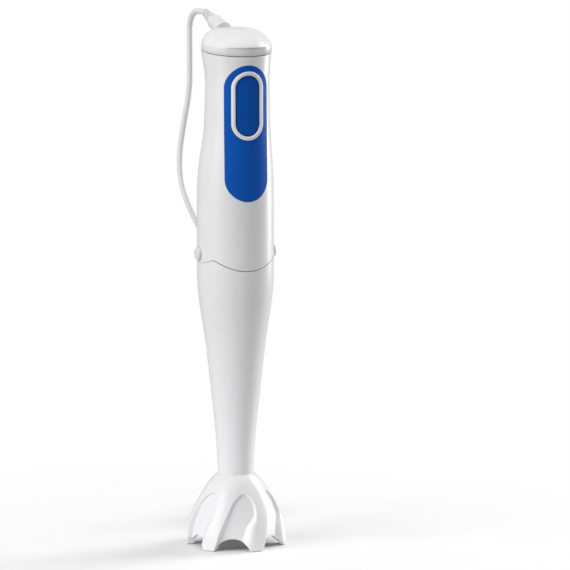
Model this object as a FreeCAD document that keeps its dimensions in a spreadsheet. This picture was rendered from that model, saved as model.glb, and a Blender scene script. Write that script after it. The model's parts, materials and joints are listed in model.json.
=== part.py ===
import FreeCAD, Part
import math
import os
import re

import Sketcher

# An immersion blender in two halves: a plastic foot with a bell-shaped blade guard, and a handle
# with the motor, the switch and the mains cord. Two release buttons hold the halves together.
# Millimetres, +Z up. The origin is on the long axis, on the surface that the bell stands on, and
# the power button faces -Y.

SIZES = """
bell_height        47.8   floor to the crease under the shaft
bell_radius        33.0   tips of the petals
bell_wall          2.2    wall of the bell
bell_roof          4.0    thickness of the bell above its hollow
scoop_depth        6.0    how far the hollows between the petals go in at the rim
scoop_twist        17.0   degrees that a hollow turns from its top to the rim
rim_turn           -24.0  degrees from the front to the middle of a hollow at the rim
arch_height        7.6    height of the arch between two petals
arch_radius        14.0   radius of that arch
neck_radius        11.9   shaft just above the bell
body_radius        25.4   top of the foot and lower handle
shell_wall         2.2    wall of the handle and the shaft
seam_front         184.7  lowest point of the wavy seam, in front
seam_radius        33.7   radius of the seam's curve in front
seam_corner        20.7   half the width of that curve
seam_slope         0.64   fall of the seam outside its corners
seam_gap           0.5    open width of the seams
cup_radius         22.6   inside of the cup at the top of the foot
cup_depth          21.2   floor of the cup under the seam's lowest point
cup_plate          11.5   thickness of the plate under the cup
fit_gap            0.3    clearance between pieces that slide or turn past each other
press_gap          0.1    clearance between pieces that are fitted by hand
running_gap        0.05   radial clearance of a shaft in its bearing
drive_radius       3.0    drive shaft in the foot
bush_wall          3.2    wall of the plain bushes
lower_bush_start   44.0   lower end of the lower bush
lower_bush_length  20.0   length of the lower bush
upper_bush_length  10.0   length of the upper bush in its plate
boss_radius        10.2   boss under the bell's roof
boss_drop          10.0   length of that boss
seal_height        4.0    lip seal in the boss
blade_reach        20.5   radius that the blade sweeps
blade_width        9.0    width of the blade plate
blade_thick        1.5    thickness of the blade plate
blade_level        11.5   underside of the blade plate
blade_tilt         20.0   degrees that the blade's wings are bent
socket_radius      7.5    outside of the drive socket
socket_height      12.7   height of the drive socket
drive_flats        8.0    width across the flats of the drive dog
rotor_radius       2.5    motor shaft
plug_gap           2.0    room between the coupling plug and the cup's floor
flange_height      2.8    thickness of the coupling plug's flange
plug_wall          1.8    wall of the coupling plug
collar_radius      16.4   collar that carries the motor, outside
collar_wall        2.0    wall of that collar
collar_height      6.0    height of that collar over the flange
slot_width         10.6   slots for the latch arms
latch_rise         3.2    middle of the release buttons over the seam's peaks
latch_radius       4.3    release button
latch_proud        2.2    how far a release button stands out
latch_travel       2.2    how far a release button is pressed
hook_rise          4.5    underside of the latch hooks over the plug's lower end
hook_height        3.6    height of the latch hooks
hook_reach         1.0    how far a hook goes into the wall of the cup
can_radius         17.5   motor can
can_wall           1.2    wall of the motor can
can_length         45.0   length of the motor can
armature_radius    12.8   turning core of the motor
armature_length    28.0   length of that core
commutator_radius  5.5    commutator
endcap_height      7.0    brush end cap
grip_top           325.3  top of the handle's shell, in front
cap_seam_slope     0.113  rise of the cap's lower seam towards the back
cap_radius         23.1   cap
cap_overhang       0.6    how far the cap stands over the front of the handle
cap_band           0.6    how far the band under the cap's lip is set back
lip_rise           6.1    lower edge of the cap's lip over the shell's top, in front
cap_lip_slope      0.045  rise of that lip towards the back
dome_rise          16.7   highest point of the cap over the shell's top
dome_radius        95.0   radius of the dome
dome_back          14.0   how far behind the axis the dome is highest
dome_round         2.2    rounding of the cap's top edge
panel_drop         5.4    upper end of the grip panel under the shell's top
panel_length       89.2   length of the grip panel
panel_width        29.6   width of the grip panel
panel_thick        1.2    thickness of the grip panel
panel_proud        0.25   how far the grip panel stands out
bezel_drop         9.3    upper end of the button's bezel under the shell's top
bezel_length       45.1   length of the bezel
bezel_width        22.0   outside of the bezel
bezel_band         2.65   width of the bezel's band
bezel_proud        0.9    how far the bezel stands out
button_sunk        0.4    how far the power button lies under the handle's surface
button_travel      1.8    how far the power button is pressed
board_drop         9.3    upper edge of the circuit board under the shell's top
board_height       54.0   height of the circuit board
board_width        26.0   width of the circuit board
board_thick        1.6    thickness of the circuit board
cord_radius        2.0    mains cord
guard_radius       5.5    strain relief where it leaves the cap
guard_collar       16.0   length of its thick part, from inside the cap
guard_draft        0.5    how much narrower that part is at its far end
guard_shoulder     1.6    length of the rounded step after it
guard_neck_radius  3.9    strain relief just past the step
guard_grooves      5      grooves round its thin part
groove_width       1.2    width of each groove
groove_depth       0.7    depth of each groove
groove_bridge      1.6    width of the ribs that cross each groove
guard_end_radius   2.5    strain relief at its far end
guard_root         8.0    length of the strain relief inside the cap
guard_root_radius  3.4    radius of that length
"""

# Outline of the shaft: share of its length, share of its growth in radius.
SHAFT_CURVE = [
    (0.0, 0.0),
    (0.08, 0.03),
    (0.2, 0.11),
    (0.38, 0.30),
    (0.56, 0.50),
    (0.74, 0.745),
    (0.86, 0.925),
    (0.94, 0.985),
    (1.0, 1.0),
    (1.1, 1.0),
]
# Outline of the handle: share of the way from the seam to the top of the shell, and how much less
# its radius is there.
GRIP_CURVE = [
    (-0.05, 0.0),
    (0.04, 0.0),
    (0.13, 0.0),
    (0.22, 0.0),
    (0.31, 0.0),
    (0.39, 0.2),
    (0.465, 0.75),
    (0.55, 1.95),
    (0.635, 3.25),
    (0.73, 3.85),
    (0.83, 4.25),
    (0.92, 3.95),
    (0.98, 2.95),
    (1.03, 2.2),
]
# Route of the mains cord from the strain relief to the folded rest of it, chosen by hand.
EXIT_START = (-1.8, 17.3, 340.3)
ROOT_DIRECTION = (0.0, -0.5, -0.87)
CORD_ROUTE = [
    (-4.8, 45.5, 350.6),
    (-5.6, 52.6, 351.0),
    (-6.4, 60.0, 350.2),
    (-7.0, 66.0, 347.0),
    (-7.3, 69.2, 340.6),
    (-7.2, 69.0, 330.0),
    (-7.2, 68.8, 314.0),
    (-7.3, 69.0, 297.5),
    (-10.9, 71.6, 273.5),
    (-13.4, 73.4, 254.0),
    (-13.8, 70.0, 234.5),
    (-9.2, 61.2, 215.0),
    (1.0, 55.2, 194.0),
    (10.5, 52.8, 168.0),
    (16.5, 53.0, 134.0),
    (19.0, 50.0, 98.0),
    (18.0, 43.5, 64.0),
    (14.5, 36.5, 40.0),
    (13.8, 36.2, 26.0),
    (15.0, 39.5, 13.5),
    (17.8, 47.2, 6.0),
    (21.0, 56.5, 2.1),
    (24.2, 65.5, 2.1),
]
HANK_LENGTH = 94.0
HANK_WIDTH = 30.0
HANK_HEIGHT = 10.0
TIE_WIDTH = 9.0
TIE_THICK = 1.0
MAINS_PLUG = (24.0, 30.0, 12.5)
BLADE_PIN = (6.3, 16.0, 1.5)
PIN_SPACING = 12.7
PETALS = 6
SECTION_POINTS = 48
FULL_TURN = 360
BIG = 60.0

# Levels that follow from the sizes.
SHAFT_RISE = "(seam_front - bell_height)"
SEAM_PEAK = "(seam_front + seam_radius - sqrt(seam_radius ^ 2 - seam_corner ^ 2))"
CUP_FLOOR = "(seam_front - cup_depth)"
BUSH_TOP = "(lower_bush_start + lower_bush_length)"
PLUG_START = f"({CUP_FLOOR} + plug_gap)"
PLUG_TOP = f"({SEAM_PEAK} + seam_gap)"
FLANGE_TOP = f"({PLUG_TOP} + flange_height)"
HOOK_LEVEL = f"({PLUG_START} + hook_rise)"
LATCH_HEIGHT = f"({SEAM_PEAK} + latch_rise)"
CAN_START = f"({FLANGE_TOP} + collar_height + 1)"
CAN_TOP = f"({CAN_START} + can_length)"
CORE_LOW = f"({CAN_START} + 8)"
BRUSH_LOW = f"({CAN_TOP} - 1.5)"
ENDCAP_TOP = f"({CAN_TOP} + endcap_height)"
LIP = "(grip_top + lip_rise)"
DOME_TOP = "(grip_top + dome_rise)"
DOME_MIDDLE = f"({DOME_TOP} - dome_radius)"
PANEL_HIGH = "(grip_top - panel_drop)"
PANEL_LOW = f"({PANEL_HIGH} - panel_length)"
BEZEL_HIGH = "(grip_top - bezel_drop)"
BEZEL_LOW = f"({BEZEL_HIGH} - bezel_length)"
BUTTON_MIDDLE = f"({BEZEL_HIGH} - bezel_length / 2)"
BOARD_TOP = "(grip_top - board_drop)"
BOARD_BOTTOM = f"({BOARD_TOP} - board_height)"
BOARD_FRONT = "(-board_thick)"
CAP_CENTRE = "(cap_radius - body_radius - cap_overhang)"

V = FreeCAD.Vector
X_AXIS = V(1, 0, 0)
Y_AXIS = V(0, 1, 0)
Z_AXIS = V(0, 0, 1)

doc = FreeCAD.newDocument("immersion_blender")
sheet = doc.addObject("Spreadsheet::Sheet", "dims")
aliases = set()
nodes = []


# ---- the sheet and expressions ----


def fill_sheet():
    """One row for each size: its name, its value under that alias, and what it is."""
    for row, line in enumerate(SIZES.strip().splitlines(), start=1):
        name, value, note = line.split(None, 2)
        sheet.set(f"A{row}", name)
        sheet.set(f"B{row}", value)
        sheet.set(f"C{row}", note)
        sheet.setAlias(f"B{row}", name)
        aliases.add(name)
    doc.recompute()


def bound(text):
    """An expression with the sheet's name before each of its aliases."""
    return re.sub(r"[a-z_]+", lambda m: "dims." + m[0] if m[0] in aliases else m[0], text)


def size(text):
    """The number that an expression has now."""
    return float(sheet.evalExpression(bound(text)))


def bind(item, name, text):
    item.setExpression(name, bound(text))


def place(item, x="0", y="0", z="0"):
    for axis, text in zip("xyz", (x, y, z)):
        bind(item, f".Placement.Base.{axis}", text)
    return item


def aim(item, rotation):
    item.Placement = FreeCAD.Placement(V(0, 0, 0), rotation)
    return item


ALONG_X = FreeCAD.Rotation(Z_AXIS, X_AXIS)
ALONG_Y = FreeCAD.Rotation(Z_AXIS, Y_AXIS)


def node(label, item):
    """Keeps an object as one of the blender's pieces."""
    item.Label = label
    nodes.append(item)
    return item


# ---- building blocks ----


def origin_plane(body, role):
    return next(f for f in body.Origin.OriginFeatures if f.Role == role)


def outline_sketch(body, role, corners):
    """A closed outline of straight lines, each corner's two distances bound to expressions."""
    sketch = body.newObject("Sketcher::SketchObject", "outline")
    sketch.AttachmentSupport = [(origin_plane(body, role), "")]
    sketch.MapMode = "FlatFace"
    points = [V(size(across), size(up), 0) for across, up in corners]
    count = len(points)
    for i in range(count):
        sketch.addGeometry(Part.LineSegment(points[i], points[(i + 1) % count]), False)
    for i in range(count):
        sketch.addConstraint(Sketcher.Constraint("Coincident", i, 2, (i + 1) % count, 1))
    for i, corner in enumerate(corners):
        for kind, text in zip(("DistanceX", "DistanceY"), corner):
            index = sketch.addConstraint(Sketcher.Constraint(kind, -1, 1, i, 1, size(text)))
            bind(sketch, f"Constraints[{index}]", text)
    return sketch


def turned(corners, name="turned"):
    """A solid of revolution about Z from an outline of (radius, height) corners."""
    body = doc.addObject("PartDesign::Body", name)
    sketch = outline_sketch(body, "XZ_Plane", corners)
    turn = body.newObject("PartDesign::Revolution", "turn")
    turn.Profile = sketch
    turn.ReferenceAxis = (sketch, ["V_Axis"])
    turn.Angle = FULL_TURN
    return body


def ring(outer, inner, low, high, name="ring"):
    return turned([(inner, low), (outer, low), (outer, high), (inner, high)], name)


def prism(corners, low, high, role="XY_Plane", name="prism"):
    """An outline pulled straight from low to high, along Z or, from XZ_Plane, along Y."""
    body = doc.addObject("PartDesign::Body", name)
    sketch = outline_sketch(body, role, corners)
    start = low if role == "XY_Plane" else f"-({high})"
    bind(sketch, ".AttachmentOffset.Base.z", start)
    pad = body.newObject("PartDesign::Pad", "pad")
    pad.Profile = sketch
    bind(pad, "Length", f"({high}) - ({low})")
    return body


def rod(radius, low, high, x="0", y="0"):
    """A cylinder along Z."""
    item = doc.addObject("Part::Cylinder", "rod")
    bind(item, "Radius", radius)
    bind(item, "Height", f"({high}) - ({low})")
    return place(item, x, y, low)


def cross_rod(radius, low, high, rotation, x="0", y="0", z="0"):
    """A cylinder along X or Y, from low to high on that axis."""
    item = aim(doc.addObject("Part::Cylinder", "cross_rod"), rotation)
    bind(item, "Radius", radius)
    bind(item, "Height", f"({high}) - ({low})")
    if rotation is ALONG_X:
        return place(item, low, y, z)
    return place(item, x, low, z)


def box(x0, x1, y0, y1, z0, z1):
    item = doc.addObject("Part::Box", "box")
    for side, low, high in (("Length", x0, x1), ("Width", y0, y1), ("Height", z0, z1)):
        bind(item, side, f"({high}) - ({low})")
    return place(item, x0, y0, z0)


def cut(base, *tools):
    for tool in tools:
        item = doc.addObject("Part::Cut", "cut")
        item.Base = base
        item.Tool = tool
        base = item
    return base


def fuse(*items):
    joined = doc.addObject("Part::MultiFuse", "fuse")
    joined.Shapes = list(items)
    joined.Refine = True
    return joined


def common(base, tool):
    item = doc.addObject("Part::Common", "common")
    item.Base = base
    item.Tool = tool
    return item


def group(*items):
    """Separate solids that share one node."""
    joined = doc.addObject("Part::Compound", "group")
    joined.Links = list(items)
    return joined


def mirrored(item, normal=X_AXIS):
    copy = doc.addObject("Part::Mirroring", "mirrored")
    copy.Source = item
    copy.Normal = normal
    return copy


def smooth_profile(stations):
    """A curve through (radius, centre y, height) stations, each coordinate an expression."""
    curve = Part.BSplineCurve()
    curve.interpolate([V(*map(size, station)) for station in stations])
    return curve


def loft(stations, name="loft"):
    """A smooth solid whose level sections are circles of (radius, centre y, height)."""
    profile = smooth_profile(stations)
    ring_curve = Part.Circle(V(0, 0, 0), Z_AXIS, 1).toBSpline()
    rows = [
        [V(p.x * unit.x, p.x * unit.y + p.y, p.z) for p in profile.getPoles()]
        for unit in ring_curve.getPoles()
    ]
    surface = Part.BSplineSurface()
    surface.buildFromPolesMultsKnots(
        rows, ring_curve.getMultiplicities(), profile.getMultiplicities(),
        ring_curve.getKnots(), profile.getKnots(), ring_curve.isPeriodic(), False,
        ring_curve.Degree, profile.Degree,
        [[weight] * profile.NbPoles for weight in ring_curve.getWeights()],
    )
    side = surface.toShape()
    ends = []
    for station in (stations[0], stations[-1]):
        radius, y, z = map(size, station)
        rim = [e for e in side.Edges if e.isClosed() and abs(e.CenterOfMass.z - z) < 0.001]
        ends.append(Part.Face(Part.Wire(rim)))
    item = doc.addObject("Part::Feature", name)
    shell = Part.makeShell([side, *ends])
    shell.sewShape()
    solid = Part.makeSolid(shell)
    if solid.Volume < 0:
        solid.reverse()
    item.Shape = solid
    return item


def obround(width, low, high, front, back):
    """An upright slot shape along Y, rounded at both ends."""
    half = f"({width}) / 2"
    return fuse(
        box(f"-{half}", half, front, back, f"({low}) + {half}", f"({high}) - {half}"),
        cross_rod(half, front, back, ALONG_Y, z=f"({low}) + {half}"),
        cross_rod(half, front, back, ALONG_Y, z=f"({high}) - {half}"),
    )


def coil_spring(radius, wire, length, turns, rotation, x="0", y="0", z="0"):
    """A compression spring: a round wire swept along a helix."""
    helix = doc.addObject("Part::Helix", "helix")
    bind(helix, "Radius", radius)
    bind(helix, "Height", f"({length}) - 2 * ({wire})")
    bind(helix, "Pitch", f"(({length}) - 2 * ({wire})) / ({turns})")
    section = doc.addObject("Part::Circle", "wire")
    section.Placement = FreeCAD.Placement(V(0, 0, 0), FreeCAD.Rotation(X_AXIS, 90))
    bind(section, "Radius", wire)
    bind(section, ".Placement.Base.x", radius)
    sweep = doc.addObject("Part::Sweep", "coil")
    sweep.Sections = [section]
    sweep.Spine = (helix, [])
    sweep.Solid = True
    sweep.Frenet = True
    aim(sweep, rotation)
    along = {"x": x, "y": y, "z": z}
    axis = "x" if rotation is ALONG_X else "y"
    along[axis] = f"({along[axis]}) + ({wire})"
    return place(sweep, **along)


def tube(points, radius):
    """A round tube along straight runs joined by tangent arcs, and the arcs' radii."""
    points = [V(*p) for p in points]
    edges = []
    radii = []
    start = points[0]
    for before, corner, after in zip(points, points[1:], points[2:]):
        inward = (before - corner).normalize()
        onward = (after - corner).normalize()
        half_turn = (math.pi - inward.getAngle(onward)) / 2
        tangent = 0.45 * min((before - corner).Length, (after - corner).Length)
        bend = tangent / math.tan(half_turn)
        middle = (inward + onward).normalize()
        first = corner + inward * tangent
        last = corner + onward * tangent
        top = corner + middle * (bend / math.cos(half_turn) - bend)
        edges.append(Part.LineSegment(start, first).toShape())
        edges.append(Part.Arc(first, top, last).toShape())
        radii.append(bend)
        start = last
    edges.append(Part.LineSegment(start, points[-1]).toShape())
    path = Part.Wire(edges)
    circle = Part.Circle(points[0], points[1] - points[0], radius)
    section = Part.Wire([circle.toShape()])
    return path.makePipeShell([section], True, False), path.Length, radii


def made(shape, label):
    """A node whose shape is set by hand."""
    item = doc.addObject("Part::Feature", label)
    item.Shape = shape
    return node(label, item)


fill_sheet()


# ---- the foot ----


def seam_block(rise):
    """Everything under the wavy seam: a level block with a round hollow and sloping ends."""
    reach = "(body_radius + 6)"
    low = f"{SEAM_PEAK} - seam_slope * ({reach} - seam_corner) + {rise}"
    corners = [
        (f"-{reach}", "0"),
        (reach, "0"),
        (reach, low),
        ("seam_corner", f"{SEAM_PEAK} + {rise}"),
        ("-seam_corner", f"{SEAM_PEAK} + {rise}"),
        (f"-{reach}", low),
    ]
    block = prism(corners, f"-{reach}", reach, "XZ_Plane", "seam_block")
    hollow = cross_rod(
        "seam_radius", f"-{reach} - 1", f"{reach} + 1", ALONG_Y,
        z=f"seam_front + seam_radius + {rise}",
    )
    return cut(block, hollow)


def shaft_loft(inset):
    grow = "(body_radius - neck_radius)"
    return loft([
        (f"neck_radius + {grow} * {share} - {inset}", "0", f"bell_height + {SHAFT_RISE} * {up}")
        for up, share in SHAFT_CURVE
    ])


def latch_pocket():
    """Where a latch hook rests in the wall of the cup."""
    return box(
        "cup_radius - 3", "cup_radius + hook_reach + fit_gap",
        "-slot_width / 2", "slot_width / 2",
        f"{HOOK_LEVEL} - 1", f"{HOOK_LEVEL} + hook_height + fit_gap",
    )


def build_foot():
    bush = "(drive_radius + bush_wall)"
    plate = f"({CUP_FLOOR} - cup_plate)"
    outside = common(shaft_loft("0"), seam_block("0"))
    spigot = rod(f"{bush} + 1.6", "lower_bush_start", "bell_height + 1")
    hollow = common(shaft_loft("shell_wall"), rod(str(BIG), BUSH_TOP, plate))
    pocket = latch_pocket()
    node("shaft_housing", cut(
        fuse(outside, spigot),
        hollow,
        rod("cup_radius", CUP_FLOOR, f"{SEAM_PEAK} + 5"),
        rod(bush, "lower_bush_start - 1", BUSH_TOP),
        rod("drive_radius + fit_gap", "lower_bush_start", f"{CUP_FLOOR} + 1"),
        rod(bush, f"{CUP_FLOOR} - upper_bush_length", f"{CUP_FLOOR} + 1"),
        pocket,
        mirrored(pocket),
    ))
    bore = "drive_radius + running_gap"
    node("lower_bush", ring(bush, bore, "lower_bush_start", BUSH_TOP, "lower_bush"))
    node("upper_bush", turned([
        (bore, f"{CUP_FLOOR} - upper_bush_length"),
        (bush, f"{CUP_FLOOR} - upper_bush_length"),
        (bush, CUP_FLOOR),
        (f"{bush} + 2.5", CUP_FLOOR),
        (f"{bush} + 2.5", f"{CUP_FLOOR} + 1.4"),
        (bore, f"{CUP_FLOOR} + 1.4"),
    ], "upper_bush"))
    seal_low = "(lower_bush_start - 1 - seal_height)"
    node("shaft_seal", turned([
        (bore, f"{seal_low} + 1"),
        ("drive_radius + 1.4", seal_low),
        (f"{bush} + 0.8", seal_low),
        (f"{bush} + 0.8", f"{seal_low} + seal_height"),
        ("drive_radius + 1.4", f"{seal_low} + seal_height"),
        (bore, f"{seal_low} + seal_height - 1"),
    ], "shaft_seal"))


def bell_section(height, inset, hollow_share):
    """A closed smooth curve round the bell at one height, waved by the hollows."""
    down = 1 - height / size("bell_height")
    flare = math.sin(math.radians(90 * down ** 0.8))
    widest = size("neck_radius") + (size("bell_radius") - size("neck_radius")) * flare
    depth = size("scoop_depth") * hollow_share * max(0.0, (down - 0.12) / 0.88) ** 0.8
    middle = size("rim_turn") + size("scoop_twist") * (1 - down)
    points = []
    for i in range(SECTION_POINTS):
        turn = FULL_TURN * i / SECTION_POINTS
        wave = (1 + math.cos(math.radians(PETALS * (turn - middle)))) / 2
        radius = widest - inset - depth * wave ** 0.8
        angle = math.radians(turn)
        points.append(V(radius * math.sin(angle), -radius * math.cos(angle), height))
    curve = Part.BSplineCurve()
    curve.interpolate(points, PeriodicFlag=True)
    return Part.Wire([curve.toShape()])


def bell_solid(top, inset, bottom):
    shares = (0.0, 0.12, 0.25, 0.4, 0.55, 0.7, 0.82, 0.92, 1.0)
    heights = [bottom + (top - bottom) * share for share in shares]
    sections = [bell_section(height, inset, 1.0) for height in heights]
    return Part.makeLoft(sections, True, False)


def build_bell():
    """The blade guard: six petals with twisted hollows between them, over a hollow bell."""
    top = size("bell_height")
    roof = top - size("bell_roof")
    bush = size("drive_radius + bush_wall")
    start = size("lower_bush_start")
    seal_radius = bush + 0.8
    outside = bell_solid(top, 0.0, 0.0)
    inside = bell_solid(roof, size("bell_wall"), -0.4)
    shell = outside.cut(inside)
    boss = Part.makeCylinder(size("boss_radius"), size("boss_drop + 1"), V(0, 0, roof - size("boss_drop")))
    shell = shell.fuse(boss.common(outside))
    seal_low = start - 1 - size("seal_height")
    tools = [
        Part.makeCylinder(bush + 1.6, BIG, V(0, 0, start)),
        Part.makeCylinder(seal_radius, start - seal_low, V(0, 0, seal_low)),
        Part.makeCylinder(size("drive_radius") + 2.4, BIG, V(0, 0, -1)),
    ]
    for i in range(PETALS):
        angle = math.radians(size("rim_turn") + i * FULL_TURN / PETALS)
        out = V(math.sin(angle), -math.cos(angle), 0)
        level = size("arch_height - arch_radius")
        base = out * (size("bell_radius") / 3) + V(0, 0, level)
        tools.append(Part.makeCylinder(size("arch_radius"), BIG, base, out))
    made(shell.cut(tools).removeSplitter(), "bell_guard")


def build_drive():
    """What turns in the foot: shaft, socket, blade, hub and retaining ring."""
    level = "blade_level"
    plate_top = "(blade_level + blade_thick)"
    floor = f"({CUP_FLOOR} + 1.4 + fit_gap)"
    pocket = f"({floor} + 3.2)"
    node("drive_shaft", rod("drive_radius", level, pocket))
    flats = "(drive_flats + 2 * fit_gap)"
    hexagon = doc.addObject("Part::Prism", "socket_hole")
    hexagon.Polygon = 6
    bind(hexagon, "Circumradius", f"{flats} / sqrt(3)")
    bind(hexagon, "Height", "socket_height")
    place(hexagon, z=pocket)
    blank = turned([
        ("0", floor),
        ("socket_radius", floor),
        ("socket_radius", f"{floor} + socket_height - 1"),
        ("socket_radius - 1", f"{floor} + socket_height"),
        ("0", f"{floor} + socket_height"),
    ], "socket_blank")
    node("drive_socket", cut(blank, rod("drive_radius", floor, pocket), hexagon))
    half = "(blade_width / 2)"
    middle = box("-8", "8", f"-{half}", half, level, plate_top)
    wings = []
    for side in (1, -1):
        out = "(blade_reach / cos(blade_tilt) - 9.5)"
        wing = prism([
            ("0", f"-{half}"),
            (f"{out} * 0.55", f"-{half}"),
            (f"{out} * 0.98", f"-{half} * 0.1"),
            (f"{out} * 0.98", f"{half} * 0.35"),
            ("0", half),
        ], "0", "blade_thick", name="wing")
        tilt = FreeCAD.Rotation(Y_AXIS, -side * size("blade_tilt"))
        turn = FreeCAD.Rotation(Z_AXIS, 0 if side > 0 else 180)
        aim(wing, turn.multiply(tilt))
        place(wing, x=f"{7.6 * side}", z=level)
        wings.append(wing)
    node("blade", cut(fuse(middle, *wings), rod("drive_radius", "0", plate_top + " + 1")))
    node("blade_hub", group(
        turned([
            ("0", f"{level} - 4.5"),
            ("3.6", f"{level} - 4.5"),
            ("5.6", f"{level} - 2.6"),
            ("5.6", level),
            ("0", level),
        ], "lower_hub"),
        turned([
            ("drive_radius", plate_top),
            ("6", plate_top),
            ("5", f"{plate_top} + 6"),
            ("drive_radius", f"{plate_top} + 6"),
        ], "upper_hub"),
    ))
    clip_low = f"({BUSH_TOP} + fit_gap)"
    node("retaining_ring", ring("drive_radius + 2.5", "drive_radius", clip_low, f"{clip_low} + 1"))


# ---- the handle's shell ----


def guard_body(margin):
    """The strain relief without its grooves: a thick part, a taper, and a root that bends down inside."""
    start = V(*EXIT_START)
    out = (V(*CORD_ROUTE[0]) - start).normalize()
    length = (V(*CORD_ROUTE[0]) - start).Length
    base = size("guard_radius") + margin
    neck = size("guard_neck_radius") + margin
    tip = size("guard_end_radius") + margin
    collar = size("guard_collar")
    shoulder_start = size("guard_collar - guard_shoulder")
    narrowed = base - size("guard_draft")
    thick = Part.makeCone(base, narrowed, shoulder_start, start, out)
    shoulder = Part.makeCone(narrowed, neck, collar - shoulder_start, start + out * shoulder_start, out)
    taper = Part.makeCone(neck, tip, length - collar, start + out * collar, out)
    root = Part.makeCylinder(
        size("guard_root_radius") + margin, size("guard_root"), start + out * 0.5, V(*ROOT_DIRECTION))
    return thick.fuse([shoulder, taper, root]).removeSplitter()


lofts = {}


def grip_loft(inset):
    """The handle's outer surface moved in by inset, made once for each inset. Its front is straight."""
    if inset not in lofts:
        lofts[inset] = loft([
            (f"body_radius - {less} - ({inset})", f"-{less}",
             f"seam_front + ({share}) * (grip_top - seam_front)")
            for share, less in GRIP_CURVE
        ])
    return lofts[inset]


def over_slope(level, slope):
    """Everything over a plane that rises towards the back and is at level on the front line."""
    front = "(-body_radius - 10)"
    back = "(body_radius + 10)"
    body = doc.addObject("PartDesign::Body", "over_slope")
    sketch = outline_sketch(body, "YZ_Plane", [
        (front, f"({level}) - 10 * ({slope})"),
        (back, f"({level}) + (2 * body_radius + 10) * ({slope})"),
        (back, f"{DOME_TOP} + 30"),
        (front, f"{DOME_TOP} + 30"),
    ])
    bind(sketch, ".AttachmentOffset.Base.z", "-body_radius - 10")
    pad = body.newObject("PartDesign::Pad", "pad")
    pad.Profile = sketch
    bind(pad, "Length", "2 * body_radius + 20")
    return body


def patch(width, low, high, outer, inner):
    """A slot-shaped piece of the handle's front between two depths under its surface."""
    slot = obround(width, low, high, "-body_radius - 10", "-body_radius / 3")
    return cut(common(slot, grip_loft(outer)), grip_loft(inner))


def build_shell():
    far = "-body_radius - 10"
    near = "-body_radius / 3"
    floor = "panel_thick - panel_proud"
    panel = obround(
        "panel_width + 2 * press_gap", f"{PANEL_LOW} - press_gap", f"{PANEL_HIGH} + press_gap", far, near,
    )
    hole = obround(
        "bezel_width - 2", f"{BEZEL_LOW} + 1", f"{BEZEL_HIGH} - 1", far, near,
    )
    boss_y = "(collar_radius + 2.4)"
    boss = fuse(
        rod("2.2", FLANGE_TOP, f"{FLANGE_TOP} + 5.5", y=boss_y),
        box("-2.2", "2.2", boss_y, "body_radius - 1", FLANGE_TOP,
            f"{FLANGE_TOP} + 5.5"),
    )
    side_hole = cross_rod(
        "latch_radius + fit_gap", "-body_radius - 3", "body_radius + 3", ALONG_X, z=LATCH_HEIGHT,
    )
    screw_holes = rod("1.25", PLUG_TOP, f"{FLANGE_TOP} + 5", y=boss_y)
    bare = cut(grip_loft("0"), grip_loft("shell_wall"))
    bosses = (boss, mirrored(boss, Y_AXIS))
    node("motor_housing", cut(
        fuse(bare, *bosses),
        seam_block("seam_gap"),
        over_slope("grip_top", "cap_seam_slope"),
        cut(panel, grip_loft(floor)),
        hole,
        side_hole,
        screw_holes,
        mirrored(screw_holes, Y_AXIS),
    ))
    bezel_hole = obround(
        "bezel_width + 2 * press_gap", f"{BEZEL_LOW} - press_gap", f"{BEZEL_HIGH} + press_gap", far, near,
    )
    node("grip_panel", cut(
        patch("panel_width", PANEL_LOW, PANEL_HIGH, "-panel_proud", floor), bezel_hole,
    ))
    sleeve = patch(
        "bezel_width - 2 - 2 * press_gap", f"{BEZEL_LOW} + 1 + press_gap", f"{BEZEL_HIGH} - 1 - press_gap",
        "0", "shell_wall",
    )
    band = patch("bezel_width", BEZEL_LOW, BEZEL_HIGH, "-bezel_proud", floor)
    inner = obround(
        "bezel_width - 2 * bezel_band", f"{BEZEL_LOW} + bezel_band", f"{BEZEL_HIGH} - bezel_band", far, near,
    )
    node("button_bezel", cut(fuse(band, sleeve), inner))


def build_cap():
    """The cap: a dome that slopes to the front, over a band that is set back under its lip."""
    lip = common(
        rod("cap_radius", f"{LIP} - 4", f"{DOME_TOP} + 5", y=CAP_CENTRE),
        over_slope(LIP, "cap_lip_slope"),
    )
    band_radius = "(cap_radius - cap_band)"
    band = common(
        rod(band_radius, "grip_top - 2", f"{LIP} + 4", y=f"{CAP_CENTRE} + cap_band / 2"),
        over_slope("grip_top + seam_gap", "cap_seam_slope"),
    )
    dome = doc.addObject("Part::Sphere", "dome")
    bind(dome, "Radius", "dome_radius")
    place(dome, y="dome_back", z=DOME_MIDDLE)
    outside = common(fuse(lip, band), dome)
    doc.recompute()
    rounded = doc.addObject("Part::Fillet", "rounded_cap")
    rounded.Base = outside
    edges = outside.Shape.Edges
    rim_edge = max(range(len(edges)), key=lambda i: edges[i].BoundBox.ZMax + edges[i].Length / 100)
    rounded.Edges = [(rim_edge + 1, size("dome_round"), size("dome_round"))]
    hollow_dome = doc.addObject("Part::Sphere", "hollow_dome")
    bind(hollow_dome, "Radius", "dome_radius - shell_wall - 0.8")
    place(hollow_dome, y="dome_back", z=DOME_MIDDLE)
    hollow = common(
        rod("cap_radius - shell_wall - 1.4", "grip_top - 10", f"{DOME_TOP} + 5", y=CAP_CENTRE), hollow_dome,
    )
    least = GRIP_CURVE[-3][1]
    spigot = f"(body_radius - {least} - 0.3 - shell_wall - press_gap)"
    rim = ring(spigot, f"{spigot} - 1.6", "grip_top - 4.5", "grip_top + 4")
    place(rim, y=f"-{least}")
    hole = doc.addObject("Part::Feature", "exit_hole")
    hole.Shape = guard_body(size("press_gap"))
    node("top_cap", cut(fuse(cut(rounded, hollow), rim), hole))


# ---- the coupling and the latches ----


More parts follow.
